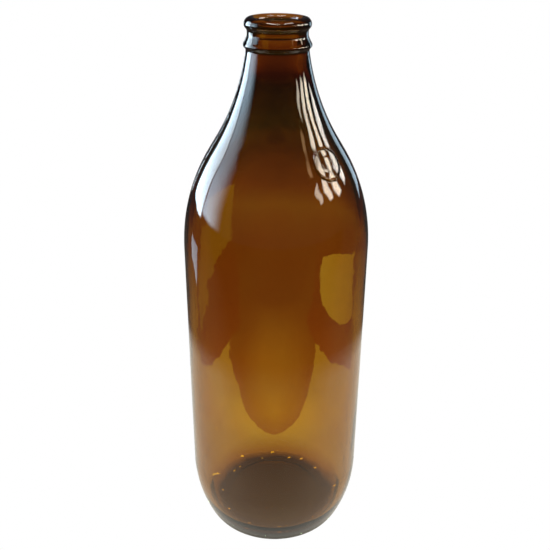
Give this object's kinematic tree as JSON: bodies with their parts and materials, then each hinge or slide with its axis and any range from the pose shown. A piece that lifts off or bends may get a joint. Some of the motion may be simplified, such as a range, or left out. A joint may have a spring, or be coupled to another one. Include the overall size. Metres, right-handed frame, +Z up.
{
  "type": "beer bottle",
  "caption": "Tall amber glass beer bottle with a long sloping shoulder, short neck, crown cork finish, deep rounded heel and pushed-up base.",
  "frame": {"origin": "centre of the ring the bottle stands on, in the plane of the table", "axes": "+Z up the bottle's axis to the mouth, -Y to the front, +X to the right; the round shoulder mark is turned 45 degrees from the front towards +X"},
  "size_m": [0.081, 0.081, 0.2415],
  "materials": {
    "amber_glass": "gloss"
  },
  "bodies": {
    "root": {"bottle": "amber_glass"}
  },
  "joints": []
}
